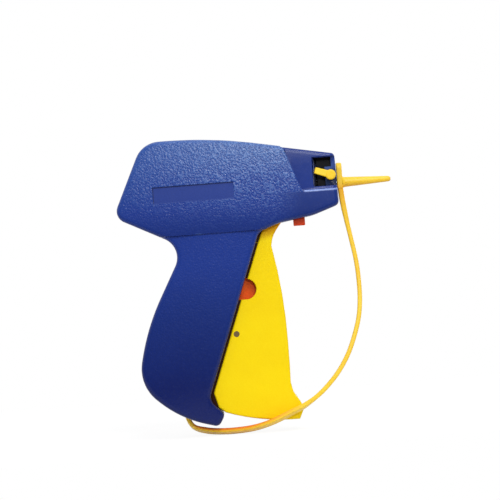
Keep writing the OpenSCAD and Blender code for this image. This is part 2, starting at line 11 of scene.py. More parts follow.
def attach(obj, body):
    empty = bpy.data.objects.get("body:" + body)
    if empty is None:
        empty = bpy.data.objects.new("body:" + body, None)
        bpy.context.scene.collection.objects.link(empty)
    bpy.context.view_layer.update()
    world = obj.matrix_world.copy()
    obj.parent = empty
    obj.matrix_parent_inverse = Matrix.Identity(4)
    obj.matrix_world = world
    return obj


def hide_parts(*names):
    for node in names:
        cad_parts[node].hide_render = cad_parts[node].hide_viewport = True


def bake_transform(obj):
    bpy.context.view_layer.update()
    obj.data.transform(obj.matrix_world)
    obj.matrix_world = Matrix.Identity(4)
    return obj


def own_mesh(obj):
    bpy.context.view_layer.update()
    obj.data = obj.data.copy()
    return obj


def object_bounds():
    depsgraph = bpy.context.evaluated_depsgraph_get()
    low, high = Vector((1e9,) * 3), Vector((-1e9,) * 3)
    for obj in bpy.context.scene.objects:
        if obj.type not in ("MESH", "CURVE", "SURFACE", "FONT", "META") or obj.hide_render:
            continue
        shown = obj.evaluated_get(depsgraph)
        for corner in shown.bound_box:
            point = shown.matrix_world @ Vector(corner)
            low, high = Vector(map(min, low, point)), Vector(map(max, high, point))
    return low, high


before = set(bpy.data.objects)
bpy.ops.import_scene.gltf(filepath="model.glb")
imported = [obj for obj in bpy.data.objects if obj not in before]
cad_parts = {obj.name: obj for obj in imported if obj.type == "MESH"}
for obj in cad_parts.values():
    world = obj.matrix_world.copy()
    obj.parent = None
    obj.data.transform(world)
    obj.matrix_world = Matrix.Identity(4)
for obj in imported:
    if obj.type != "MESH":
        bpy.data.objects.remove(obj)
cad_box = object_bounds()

MM = 0.001
SMOOTH = 32  # edges sharper than this, in degrees, stay crisp
WELD, CAD_WELD, SLIVER = 1e-7, 5e-7, 2e-7  # metres within which two points count as one
scene = bpy.context.scene

# ------------ sizes, in millimetres, as in the CAD model
# +X is the way the needle points, +Z is up and the shells meet on Y = 0. A drawing is a list of (x, z)
NOSE_X, TOP_Z, FOOT_Z = 82.3, 57.9, 85.7
AXIS_Z, STEP_Z, LEDGE_Z = 31.0, 10.1, 28.4
BODY_HALF, GRIP_HALF, NOSE_HALF, RIM_R = 14.0, 13.0, 12.0, 2.2
GRIP_X0, GRIP_LEAN, REAR_GAP = 38.0, 0.3783, 1.1
PIVOT, LINK, FULCRUM, LOCK_AT = (52.8, 18.0), (26.6, -40.5), (21.7, -9.6), (79.2, 35.0)
LOCK_FLOOR, SCREW_R = 9.5, 2.6
CAP_X0, TAB_T = NOSE_X + 0.4, 2.5


def grip_x(z):
    """Front edge of the grip."""
    return GRIP_X0 + GRIP_LEAN * z


LIP_X = grip_x(-FOOT_Z + 13.2)
STRAP_END = (LIP_X - 11.5, -FOOT_Z + 9.7)
SCREWS = [(-14, TOP_Z - 9.5), (43, TOP_Z - 9.6), (-21, 27), (-9.5, -27), (LIP_X - 22.9, -FOOT_Z + 17.4)]

# Outline of the shells as (x, z, radius)
SHELL_PATH = [
    (LIP_X + 4, -FOOT_Z, 3), (LIP_X + 7.6, -FOOT_Z + 6.1, 3), (LIP_X, -FOOT_Z + 13.2, 6),
    (grip_x(9), 9, 5), (51, 12.8, 20), (NOSE_X - 12.8, 15.6, 20),
    (NOSE_X, 19.9, 3), (NOSE_X - 0.4, TOP_Z - 12, 3), (20.8, TOP_Z, 230), (-13.1, TOP_Z, 13),
    (-30, 21.8, 6), (3.74, 4.5, 10), (-17.3, -33.7, 115),
    (LIP_X - 34.6, -FOOT_Z + 23.3, 20), (LIP_X - 14.4, -FOOT_Z + 5, 56)]

# Label pocket and needle lock's recess, as (x0, z0, x1, z1), and the slanting step behind the narrower nose
LABEL = (-9.6, 26.3, 30.6, 35.1)
RECESS = (NOSE_X - 11.9, 29.6, NOSE_X + 1, 44.2)
DIAGONAL = ((NOSE_X - 28.7, TOP_Z), (NOSE_X - 18.3, LEDGE_Z + 0.8), (NOSE_X - 17, LEDGE_Z))
DIAGONAL_LEAN = (DIAGONAL[1][0] - DIAGONAL[0][0]) / (DIAGONAL[0][1] - DIAGONAL[1][1])


# ------------ drawings in X and Z
ARC_TURN, ARC_GAP = 6, 3  # most degrees and millimetres between two points of a rounded corner


def vec(p):
    return np.array(p[:2], float)


def unit(v):
    return v / max(1e-12, float(np.hypot(v[0], v[1])))


def left(v):
    return np.array((-v[1], v[0]))


def rot2(v, a):
    c, s = math.cos(a), math.sin(a)
    return np.array((v[0] * c - v[1] * s, v[0] * s + v[1] * c))


def turned(p, c, degrees):
    """p turned about c as seen along +Y: tops go to +X."""
    a = math.radians(degrees)
    x, z = p[0] - c[0], p[1] - c[1]
    return np.array((c[0] + x * math.cos(a) + z * math.sin(a), c[1] - x * math.sin(a) + z * math.cos(a)))


def polar(c, r, degrees):
    return (c[0] + r * math.cos(math.radians(degrees)), c[1] + r * math.sin(math.radians(degrees)))


def ring(path, d, gap):
    """Rounded outline of a counter-clockwise path of (x, z, radius), moved d inwards, with points about gap
    apart on its straight stretches."""
    n, arcs, out = len(path), [], []
    for i, corner in enumerate(path):
        q = vec(corner)
        u, v = unit(q - vec(path[i - 1])), unit(vec(path[(i + 1) % n]) - q)
        dot = max(-1.0, min(1.0, float(u @ v)))
        a, s = math.acos(dot), (1 if u[0] * v[1] - u[1] * v[0] > 0 else -1)
        r = max(0.02, corner[2] - s * d)
        c = q + d * (left(u) + left(v)) / (1 + dot)
        start = c - u * r * math.tan(a / 2)
        hub = start + s * r * left(u)
        k = max(2, math.ceil(math.degrees(a) / ARC_TURN), math.ceil(a * corner[2] / ARC_GAP))
        arcs.append([hub + rot2(start - hub, s * a * j / k) for j in range(k + 1)])
    for i, arc in enumerate(arcs):
        out += arc
        a, b = arc[-1], arcs[(i + 1) % n][0]
        k = max(1, int(np.hypot(*(b - a)) / gap))
        out += [a + (b - a) * j / k for j in range(1, k)]
    return np.array(out)


def inset(points, d):
    """A closed outline with every edge moved d inwards."""
    p = np.asarray(points, float)
    e = np.roll(p, -1, 0) - p
    e /= np.maximum(1e-9, np.hypot(e[:, 0], e[:, 1]))[:, None]
    normal = np.stack((-e[:, 1], e[:, 0]), 1)
    before = np.roll(normal, 1, 0)
    return p + d * (normal + before) / np.maximum(0.35, 1 + (normal * before).sum(1))[:, None]


def area(p):
    return 0.5 * float((p[:, 0] * np.roll(p[:, 1], -1) - np.roll(p[:, 0], -1) * p[:, 1]).sum())


def counter_clockwise(outline):
    outline = np.asarray(outline, float)
    return outline if area(outline) > 0 else outline[::-1]


def slot_line(points, r, n):
    """Outline of a slot of half width r along a line, with n steps round each end."""
    p = [np.array(q, float) for q in points]
    m = len(p) - 1
    way = [unit(p[min(i + 1, m)] - p[max(i - 1, 0)]) for i in range(m + 1)]
    out = [p[i] - r * left(way[i]) for i in range(m + 1)]
    out += [p[m] + r * rot2(-left(way[m]), math.pi * j / n) for j in range(1, n)]
    out += [p[i] + r * left(way[i]) for i in range(m, -1, -1)]
    out += [p[0] + r * rot2(left(way[0]), math.pi * j / n) for j in range(1, n)]
    return np.array(out)


def disc(c, r, n):
    return np.array([(c[0] + r * math.cos(2 * math.pi * k / n), c[1] + r * math.sin(2 * math.pi * k / n))
                     for k in range(n)])


def resample(line, gap):
    """A line with points at most gap apart."""
    out = [np.array(line[0], float)]
    for a, b in zip(line, line[1:]):
        a, b = np.array(a, float), np.array(b, float)
        k = max(1, math.ceil(np.hypot(*(b - a)) / gap))
        out += [a + (b - a) * j / k for j in range(1, k + 1)]
    return np.array(out)


# ------------ mesh helpers
@contextmanager
def opened(me):
    """A mesh as a bmesh, which is written back at the end."""
    bm = bmesh.new()
    bm.from_mesh(me)
    yield bm
    bm.to_mesh(me)
    bm.free()


def shade(ob, smooth=SMOOTH):
    ob.data.shade_smooth()
    ob.data.set_sharp_from_angle(angle=math.radians(smooth))


def make(name, verts, faces, smooth=SMOOTH):
    """Mesh object from millimetre points."""
    me = bpy.data.meshes.new(name)
    me.from_pydata([tuple(c * MM for c in v) for v in verts], [], faces)
    with opened(me) as bm:
        bmesh.ops.remove_doubles(bm, verts=bm.verts, dist=WELD)
        bmesh.ops.recalc_face_normals(bm, faces=bm.faces)
    ob = bpy.data.objects.new(name, me)
    scene.collection.objects.link(ob)
    shade(ob, smooth)
    return ob


def cad_copy(node, name):
    """A closed copy of a CAD node's mesh, to be worked on."""
    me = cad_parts[node].data.copy()
    me.name = name
    me.materials.clear()
    with opened(me) as bm:
        bmesh.ops.remove_doubles(bm, verts=bm.verts, dist=CAD_WELD)
        open_edges = sum(len(e.link_faces) != 2 for e in bm.edges)
        bmesh.ops.recalc_face_normals(bm, faces=bm.faces)
    if open_edges:
        print("OPEN", node, open_edges)
    ob = bpy.data.objects.new(name, me)
    scene.collection.objects.link(ob)
    return ob


def apply_modifiers(ob):
    me = bpy.data.meshes.new_from_object(ob.evaluated_get(bpy.context.evaluated_depsgraph_get()))
    ob.modifiers.clear()
    old, ob.data = ob.data, me
    me.name = ob.name
    bpy.data.meshes.remove(old)


def boolean(a, b, how="DIFFERENCE", smooth=SMOOTH):
    """a with b joined, cut or kept. b goes afterwards."""
    m = a.modifiers.new("cut", "BOOLEAN")
    m.object, m.operation, m.solver = b, how, "MANIFOLD"
    apply_modifiers(a)
    tool = b.data
    bpy.data.objects.remove(b)
    bpy.data.meshes.remove(tool)
    shade(a, smooth)
    if not len(a.data.polygons):
        print("EMPTY after boolean", a.name)


def ring_faces(rings, m, closed=False):
    """Quads between rings of m points. The last ring meets the first one, or both get an end face."""
    faces = []
    for k in range(rings if closed else rings - 1):
        a, b = k * m, (k + 1) % rings * m
        faces += [(a + i, a + (i + 1) % m, b + (i + 1) % m, b + i) for i in range(m)]
    if not closed:
        faces += [tuple(range(m)), tuple(range((rings - 1) * m, rings * m))]
    return faces


def quarter_round(r, n):
    """Steps (inset, depth) of a quarter-round edge, from the flat side face out to the end face."""
    angles = [math.pi / 2 * k / n for k in range(n + 1)]
    return [(r * (1 - math.cos(a)), r * (1 - math.sin(a))) for a in angles]


def rolled(name, outline, y0, y1, r0, r1=None, n=4, axis="Y"):
    """A drawing made solid from y0 to y1, with quarter-round edges of radius r0 at y0 and r1 at y1.
    A negative radius flares the end instead, for a cutter that breaks the edge of its hole.
    With axis X the drawing is one of (y, z), and y0 and y1 lie on X."""
    outline = counter_clockwise(outline)
    rows = []
    for r, y, way in ((r0, y0, 1), (r0 if r1 is None else r1, y1, -1)):
        end = [(0, y)]
        if r > 0:
            end = [(d, y + way * h) for d, h in reversed(quarter_round(r, n))]
        elif r < 0:
            end = [(r, y), (0, y - way * r)]
        rows += end[::way]
    verts = []
    for d, y in rows:
        verts += [(y, p[0], p[1]) if axis == "X" else (p[0], y, p[1]) for p in inset(outline, d)]
    return make(name, verts, ring_faces(len(rows), len(outline)))


def lathe(name, profile, n):
    """A closed profile of (x, radius) turned round the needle's axis."""
    verts = []
    for k in range(n):
        c, s = math.cos(2 * math.pi * k / n), math.sin(2 * math.pi * k / n)
        verts += [(x, r * c, AXIS_Z + r * s) for x, r in profile]
    return make(name, verts, ring_faces(n, len(profile), closed=True))


def direction(line, i):
    t = line[min(i + 1, len(line) - 1)] - line[max(i - 1, 0)]
    return t / np.linalg.norm(t)


def sweep(name, line, section, roll, full):
    """A closed section of (across, thickness) carried along a line, with flat ends. At each point it is
    turned by roll degrees and is full times as thick. Unturned, across lies along Y."""
    verts = []
    for i, p in enumerate(line):
        t = direction(line, i)
        y = np.array((0.0, 1.0, 0.0)) - t[1] * t
        y /= np.linalg.norm(y)
        z = np.cross(t, y)
        a = math.radians(roll(p))
        y, z = y * math.cos(a) + z * math.sin(a), z * math.cos(a) - y * math.sin(a)
        verts += [tuple(p + u * y - v * full(p) * z) for u, v in section]
    return make(name, verts, ring_faces(len(line), len(section)), 40)


def tube(name, line, r, n):
    """Round wire of n sides along a line, with a frame that does not twist."""
    line = [np.array(p, float) for p in line]
    u = np.cross(direction(line, 0), (0.31, 0.5, 0.8))
    verts = []
    for i, p in enumerate(line):
        t = direction(line, i)
        u = u - (u @ t) * t
        u /= np.linalg.norm(u)
        b = np.cross(t, u)
        for k in range(n):
            a = 2 * math.pi * k / n
            verts.append(tuple(p + r * (math.cos(a) * u + math.sin(a) * b)))
    return make(name, verts, ring_faces(len(line), n), 60)


# ------------ node trees
def srgb(r, g, b):
    def linear(c):
        return c / 12.92 if c <= 0.04045 else ((c + 0.055) / 1.055) ** 2.4
    return (linear(r / 255), linear(g / 255), linear(b / 255), 1.0)


class Tree:
    """Short hand for a node tree."""

    def __init__(self, tree):
        self.tree = tree
        tree.nodes.clear()

    def add(self, kind, **values):
        node = self.tree.nodes.new(kind)
        for key, value in values.items():
            setattr(node, key, value)
        return node

    def link(self, a, b):
        self.tree.links.new(a, b)

    def feed(self, socket, value):
        """Set a socket to a constant, or link it to an output."""
        if isinstance(value, (int, float, tuple)):
            socket.default_value = value
        else:
            self.link(value, socket)

    def span(self, value, a, b, low=0.0, high=1.0):
        """low where the value is a, high where it is b, and a straight line between them."""
        node = self.add("ShaderNodeMapRange")
        self.link(value, node.inputs["Value"])
        for key, v in (("From Min", a), ("From Max", b), ("To Min", low), ("To Max", high)):
            node.inputs[key].default_value = v
        return node.outputs["Result"]

    def math(self, how, *values):
        node = self.add("ShaderNodeMath", operation=how)
        for socket, value in zip(node.inputs, values):
            self.feed(socket, value)
        return node.outputs[0]

    def times(self, *values):
        product = values[0]
        for value in values[1:]:
            product = self.math("MULTIPLY", product, value)
        return product

    def largest(self, *values):
        most = values[0]
        for value in values[1:]:
            most = self.math("MAXIMUM", most, value)
        return most

    def mix(self, factor, a, b):
        """Colour a where the factor is 0, and b where it is 1."""
        node = self.add("ShaderNodeMix", data_type="RGBA")
        self.link(factor, node.inputs["Factor"])
        self.feed(node.inputs[6], a)
        self.feed(node.inputs[7], b)
        return node.outputs[2]

    def light(self, kind, colour, strength):
        """Background or emission shader."""
        node = self.add(kind)
        node.inputs[0].default_value = colour
        self.feed(node.inputs[1], strength)
        return node.outputs[0]

    def finish(self, kind, factor, a, b):
        """Put shader a out where the factor is 0, and b where it is 1."""
        node = self.add("ShaderNodeMixShader")
        for socket, value in zip(node.inputs, (factor, a, b)):
            self.link(value, socket)
        self.link(node.outputs[0], self.add(kind).inputs[0])


class Material(Tree):
    """A principled material. Its coordinates are the piece's own, in metres."""

    def __init__(self, name):
        self.mat = bpy.data.materials.new(name)
        self.mat.use_nodes = True
        super().__init__(self.mat.node_tree)
        self.bsdf = self.add("ShaderNodeBsdfPrincipled")
        self.link(self.bsdf.outputs[0], self.add("ShaderNodeOutputMaterial").inputs[0])
        self.where = self.add("ShaderNodeTexCoord").outputs["Object"]
        self.x, self.y, self.z = self.split(self.where)

    def split(self, vector):
        node = self.add("ShaderNodeSeparateXYZ")
        self.link(vector, node.inputs[0])
        return node.outputs[0], node.outputs[1], node.outputs[2]

    def ramp(self, value, a, b, low=0.0, high=1.0):
        """As span, with a and b in millimetres."""
        return self.span(value, a * MM, b * MM, low, high)

    def noise(self, per_mm, detail, rough, distort=0.0, where=None):
        node = self.add("ShaderNodeTexNoise")
        self.link(where or self.where, node.inputs["Vector"])
        node.inputs["Scale"].default_value = per_mm / MM
        node.inputs["Detail"].default_value = detail
        node.inputs["Roughness"].default_value = rough
        node.inputs["Distortion"].default_value = distort
        return node.outputs["Fac"]

    def cells(self, per_mm):
        """Distance to the middle of soft-edged cells."""
        node = self.add("ShaderNodeTexVoronoi", feature="SMOOTH_F1")
        self.link(self.where, node.inputs["Vector"])
        node.inputs["Scale"].default_value = per_mm / MM
        node.inputs["Smoothness"].default_value = 0.6
        return node.outputs["Distance"]

    def edge(self):
        """1 on worn outer edges and 0 elsewhere."""
        return self.span(self.add("ShaderNodeNewGeometry").outputs["Pointiness"], 0.52, 0.62)

    def bump(self, height, strength, depth_mm):
        node = self.add("ShaderNodeBump")
        node.inputs["Strength"].default_value = strength
        node.inputs["Distance"].default_value = depth_mm * MM
        self.link(height, node.inputs["Height"])
        self.link(node.outputs[0], self.bsdf.inputs["Normal"])

    def set(self, key, value):
        self.feed(self.bsdf.inputs[key], value)


# ------------ materials
def plastic(name, base, light, dark, rough=(0.3, 0.45), bump=0.15, wear=0.35, specular=0.5, extra=None):
    """Moulded plastic: two scales of colour variation, worn edges, uneven gloss and a faint flow texture."""
    n = Material(name)
    col = n.mix(n.span(n.noise(0.045, 3, 0.5), 0.3, 0.7), dark, base)
    col = n.mix(n.span(n.noise(1.4, 4, 0.6), 0.45, 0.75, 0, 0.35), col, light)
    col = n.mix(n.times(n.edge(), wear), col, light)
    n.set("Base Color", extra(n, col) if extra else col)
    n.set("Roughness", n.span(n.noise(0.35, 5, 0.65), 0.3, 0.7, *rough))
    n.bump(n.math("ADD", n.noise(0.9, 3, 0.5), n.times(n.noise(6.0, 2, 0.5), 0.25)), bump, 0.05)
    n.set("Specular IOR Level", specular)
    return n.mat


def trigger_painted_shade(n, col):
    """Trigger: painted shade, as an orange tone at its top under the body's edge, and dark brown on the thin
    lips behind its rear edge, in the gap to the grip.
    """
    def behind(x0, lean, soft):
        """1 behind a line that is at x0 where z is 0."""
        return n.ramp(n.math("SUBTRACT", n.x, n.times(n.z, lean)), x0, x0 + soft, 1, 0)

    # Painted shade: orange where the trigger runs in under the body, and dark brown in the gap behind its
    # rear edge and at its heel
    shade_under_body = n.ramp(n.z, 5, 11, 0, 0.85)
    top = n.times(behind(38.95, 0.4112, 0.15), n.ramp(n.z, 3.8, 4.2))
    rear = n.times(behind(GRIP_X0 + REAR_GAP, GRIP_LEAN, 0.15), n.ramp(n.z, 3.8, 4.2, 1, 0))
    heel = n.times(behind(-4.2, -0.25, 0.2), n.ramp(n.z, -69.0, -68.4, 1, 0))
    return n.mix(n.largest(rear, heel, top), n.mix(shade_under_body, col, srgb(240, 150, 10)), srgb(52, 28, 14))


def strap_painted_shade(n, col):
    """Cap and strap: painted shade, as a warmer orange where the band leaves the cap, and a deeper orange on
    the band's upper face along the foot."""
    root = n.times(n.ramp(n.z, 16, 26, 0, 0.5), n.ramp(n.z, 28.5, 31, 1, 0))
    foot = n.times(n.ramp(n.x, 30, 62, 1, 0), n.ramp(n.z, -74, -79))
    up = n.split(n.add("ShaderNodeNewGeometry").outputs["True Normal"])[2]
    # Painted shade: orange at the band's root under the cap, and on its upper face along the foot
    col = n.mix(root, col, srgb(243, 156, 28))
    return n.mix(n.times(foot, n.span(up, 0.1, 0.45, 0, 0.95)), col, srgb(238, 112, 30))


def grained():
    """Blue shells: orange-peel grain on the sides, smooth on the nose and in the label pocket. The blue is
    paler towards the top and deeper towards the foot, as painted shade of the light from above."""
    n = Material("grained_blue")
    x, z = n.x, n.z
    side = n.math("ABSOLUTE", n.y)
    near = n.ramp(n.y, -1, 1, 1, 0)

    # Smooth stretches: the nose from the diagonal on, the chin below its ledge, and the pocket
    step = DIAGONAL[0][0] + DIAGONAL_LEAN * TOP_Z
    diagonal = n.math("ADD", x, n.times(z, DIAGONAL_LEAN))
    nose = n.times(n.ramp(diagonal, step - 0.18, step + 0.32), n.ramp(z, LEDGE_Z - 0.2, LEDGE_Z + 0.1))
    chin = n.times(n.ramp(x, 50, 64), n.ramp(z, LEDGE_Z - 1.4, LEDGE_Z, 1, 0))
    x0, z0, x1, z1 = LABEL
    pocket = n.times(n.ramp(x, x0 - 0.1, x0 + 0.1), n.ramp(x, x1 - 0.1, x1 + 0.1, 1, 0),
                     n.ramp(z, z0 + 0.2, z0 + 1.2), n.ramp(z, z1 - 0.1, z1 + 0.1, 1, 0), near)

    # The grain fades towards the foot and round the rim, and is strongest at the top
    grain = n.times(n.math("SUBTRACT", 1.0, n.largest(nose, chin, pocket)), n.ramp(z, -78, -30, 0.2, 0.5),
                    n.ramp(z, 10, 34, 1, 2), n.ramp(side, 8.5, 10.5, 0.15, 1))
    peel = n.math("ADD", n.cells(1.02), n.times(n.noise(1.5, 2, 0.5, 0.2), 0.6))
    height = n.times(n.math("SUBTRACT", peel, 0.8), grain)
    height = n.math("ADD", height, n.times(n.noise(0.5, 3, 0.5), 0.12))

    # Painted shade: paler towards the top and darker towards the foot, as the light falls from above
    drift = n.math("ADD", z, n.times(n.math("SUBTRACT", n.noise(0.03, 3, 0.5), 0.5), 20 * MM))
    col = n.mix(n.ramp(drift, -66, -30), srgb(14, 29, 94), srgb(23, 45, 118))
    col = n.mix(n.ramp(drift, -30, -4), col, srgb(30, 55, 137))
    col = n.mix(n.ramp(drift, 20, 46), col, n.mix(nose, srgb(46, 77, 152), srgb(33, 54, 124)))
    col = n.mix(n.times(chin, 0.75), col, srgb(29, 49, 116))
    col = n.mix(n.times(pocket, 0.8), col, srgb(30, 54, 132))

    # Paler tips and darker hollows of the grain, most of all at the upper front, where they are partly
    # painted sheen; brow is a painted pale sheen over the upper front
    pale = srgb(112, 144, 200)
    up = n.times(grain, n.ramp(z, 8, 42, 0.08, 1), n.ramp(x, -20, 45, 0.28, 1))
    brow = n.times(grain, n.ramp(z, 36, 56, 0, 0.36), n.ramp(x, -20, 45))
    col = n.mix(brow, col, srgb(112, 146, 186))
    col = n.mix(n.times(n.span(peel, 0.72, 1.05, 0, 0.5), up), col, pale)
    col = n.mix(n.times(n.span(peel, 0.42, 0.72, 0.55, 0), up), col, srgb(26, 46, 120))

    # Painted shade above the step to the grip, in the needle lock's recess and in the pocket's upper and rear
    # corners
    low = n.times(n.ramp(z, 10, 24, 0.45, 0), n.ramp(z, STEP_Z - 0.3, STEP_Z), near)
    recess = n.times(n.ramp(x, RECESS[0] - 0.2, RECESS[0] + 0.2),
                     n.ramp(z, RECESS[1] - 0.2, RECESS[1] + 0.1),
                     n.ramp(z, LOCK_AT[1] + 1.8, LOCK_AT[1] + 3.5, 1, 0),
                     n.ramp(side, LOCK_FLOOR + 0.2, LOCK_FLOOR + 0.6, 1, 0), near)
    corner = n.largest(n.ramp(z, z1 - 0.8, z1 - 0.2), n.ramp(x, x0 + 0.2, x0 + 0.7, 1, 0))
    col = n.mix(low, col, srgb(20, 34, 90))
    col = n.mix(n.times(recess, 0.85), col, srgb(15, 19, 38))
    col = n.mix(n.times(corner, pocket, 0.8), col, srgb(22, 34, 84))

    # Painted highlight along the ledge's lower edge, and wear on all edges
    ledge = n.times(n.ramp(z, LEDGE_Z - 1.3, LEDGE_Z - 0.8), n.ramp(z, LEDGE_Z - 0.4, LEDGE_Z - 0.1, 1, 0),
                    n.ramp(x, DIAGONAL[2][0] - 0.1, DIAGONAL[2][0] + 0.5), near)
    col = n.mix(n.times(ledge, 0.75), col, srgb(150, 172, 232))
    n.set("Base Color", n.mix(n.times(n.edge(), 0.25), col, pale))

    rough = n.span(n.noise(0.4, 4, 0.6), 0.3, 0.7, 0.23, 0.29)
    n.set("Roughness", n.math("ADD", rough, n.times(pocket, 0.3)))
    n.bump(height, 1.0, 0.125)
    n.set("Specular IOR Level", 0.22)
    return n.mat


def metal(name, base, rough=(0.2, 0.38), streak=(1, 1, 1)):
    """Drawn or turned steel, with fine streaks and a little dark residue."""
    n = Material(name)
    scale = n.add("ShaderNodeMapping")
    n.link(n.where, scale.inputs["Vector"])
    scale.inputs["Scale"].default_value = streak
    lines = n.noise(4.0, 3, 0.6, where=scale.outputs[0])
    dark = tuple(c * 0.55 for c in base[:3]) + (1.0,)
    n.set("Base Color", n.mix(n.span(n.noise(0.4, 4, 0.6), 0.5, 0.75, 0, 0.5), base, dark))
    n.set("Roughness", n.span(lines, 0.3, 0.7, *rough))
    n.bump(lines, 0.12, 0.03)
    n.set("Metallic", 1.0)
    return n.mat


MAT = {
    "shell": grained(),
    "trigger": plastic("trigger_yellow", srgb(250, 218, 7), srgb(253, 230, 36), srgb(246, 210, 5),
                       rough=(0.3, 0.44), bump=0.12, wear=0.1, specular=0.1, extra=trigger_painted_shade),
    "lever": plastic("lever_orange", srgb(253, 104, 14), srgb(255, 146, 44), srgb(244, 84, 12), specular=0.2),
    "lock": plastic("lock_yellow", srgb(253, 214, 34), srgb(255, 232, 90), srgb(250, 196, 24), specular=0.3),
    "release": plastic("release_red", srgb(200, 60, 22), srgb(228, 96, 44), srgb(176, 44, 18), specular=0.15),
    "cap": plastic("cap_yellow", srgb(250, 210, 52), srgb(253, 226, 104), srgb(246, 194, 40),
                   rough=(0.3, 0.44), bump=0.08, wear=0.1, specular=0.3, extra=strap_painted_shade),
    "wheel": plastic("wheel_ivory", srgb(232, 230, 222), srgb(246, 245, 240), srgb(208, 205, 194),
                     rough=(0.35, 0.5), specular=0.35),
    "black": plastic("black_moulding", srgb(15, 15, 19), srgb(46, 46, 54), srgb(8, 8, 10),
                     rough=(0.34, 0.5), specular=0.1),
    "slider": plastic("slider_blackish", srgb(30, 30, 34), srgb(80, 80, 86), srgb(17, 17, 20),
                      rough=(0.3, 0.46)),
    "steel": metal("steel", srgb(186, 190, 194)),
    "needle": metal("needle_steel", srgb(200, 203, 206), rough=(0.12, 0.26), streak=(0.1, 1, 1)),
    "spring": metal("spring_steel", srgb(150, 154, 158), rough=(0.22, 0.4)),
    "rod": metal("rod_steel", srgb(92, 94, 98), rough=(0.3, 0.45), streak=(0.1, 1, 1)),
    "pin": metal("pin_bronzed", srgb(132, 112, 78), rough=(0.42, 0.6)),
    "zinc": metal("screw_zinc", srgb(176, 178, 180), rough=(0.25, 0.42)),
}


# ------------ finishing of a piece
def paint(ob, key):
    ob.data.materials.clear()
    ob.data.materials.append(MAT[key])
    ob.data.polygons.foreach_set("material_index", [0] * len(ob.data.polygons))


def level(ob):
    """Mend what booleans leave, and weight the shading normals by face size, so that large flat faces stay
    flat next to rounded edges."""
    with opened(ob.data) as bm:
        bmesh.ops.dissolve_degenerate(bm, edges=bm.edges, dist=SLIVER)
        bmesh.ops.triangulate(bm, faces=[f for f in bm.faces if len(f.verts) > 4])
    ob.data.validate()
    shade(ob)
    m = ob.modifiers.new("level", "WEIGHTED_NORMAL")
    m.keep_sharp, m.weight = True, 80
    apply_modifiers(ob)


def piece(ob, key, slot, body, *nodes):
    """Finish a rigid piece: its material, the body it rides on and the CAD nodes it stands for. The slot is
    not used.
    """
    level(ob)
    paint(ob, key)
    if nodes:
        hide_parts(*nodes)
    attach(ob, body)


# ------------ shells
SKIN = 0.05       # the envelope's outline lies this far inside the CAD's
SIDE_SKIN = 0.03  # and its sides this far
MESH_GAP, LINE_GAP, RIM_GAP, RIM_STEPS = 1.4, 1.5, 0.4, 8
PARTING_EDGE = ((0.0, 0.26), (0.05, 0.14), (0.18, 0.04))  # (inset, y) of the broken edge at the parting face
GRIP_MIDDLE = 21  # from the grip's front edge back to its crest
STEP_SOFT, STEP_FRONT = 0.4, 44.5  # run of the step to the grip, and the x at which it ends
STEP_R, LEDGE_R, TOE_LEAN = 0.3, 0.9, 1.6  # roundings over the nose, and the lean of the diagonal's foot
POCKET_SOFT, RECESS_R, SCREW_SOFT = 0.2, 0.35, 0.4


def clamp01(v):
    return np.clip(v, 0.0, 1.0)


def smooth01(v):
    v = clamp01(v)
    return v * v * (3 - 2 * v)


def crown(v, start, run, fall):
    """Fall of a side that curves away from start on, by fall after a stretch of run."""
    return fall * clamp01((v - start) / run) ** 2


def eased(dist, r):
    """Drop of a small round over an edge, for a point dist away from it."""
    t = clamp01(1 - dist / r)
    return r * (1 - np.sqrt(np.maximum(0, 1 - t * t)))


def box_distance(x, z, box):
    """Distance outside a rectangle, and 0 inside it."""
    dx = np.maximum(np.maximum(box[0] - x, x - box[2]), 0)
    dz = np.maximum(np.maximum(box[1] - z, z - box[3]), 0)
    return np.hypot(dx, dz)


def outline_distance(points, outline):
    """Distance of each point to a closed outline."""
    best = np.full(len(points), 1e9)
    for a, b in zip(outline, np.roll(outline, -1, 0)):
        e = b - a
        t = clamp01(((points - a) @ e) / max(1e-12, float(e @ e)))
        best = np.minimum(best, np.hypot(*(points - a - t[:, None] * e).T))
    return best


def inside(points, outline):
    """True for points inside a closed outline."""
    x, z = points.T
    found = np.zeros(len(points), bool)
    for (x0, z0), (x1, z1) in zip(outline, np.roll(outline, -1, 0)):
        if z0 != z1:
            found ^= ((z0 > z) != (z1 > z)) & (x < (x1 - x0) * (z - z0) / (z1 - z0) + x0)
    return found


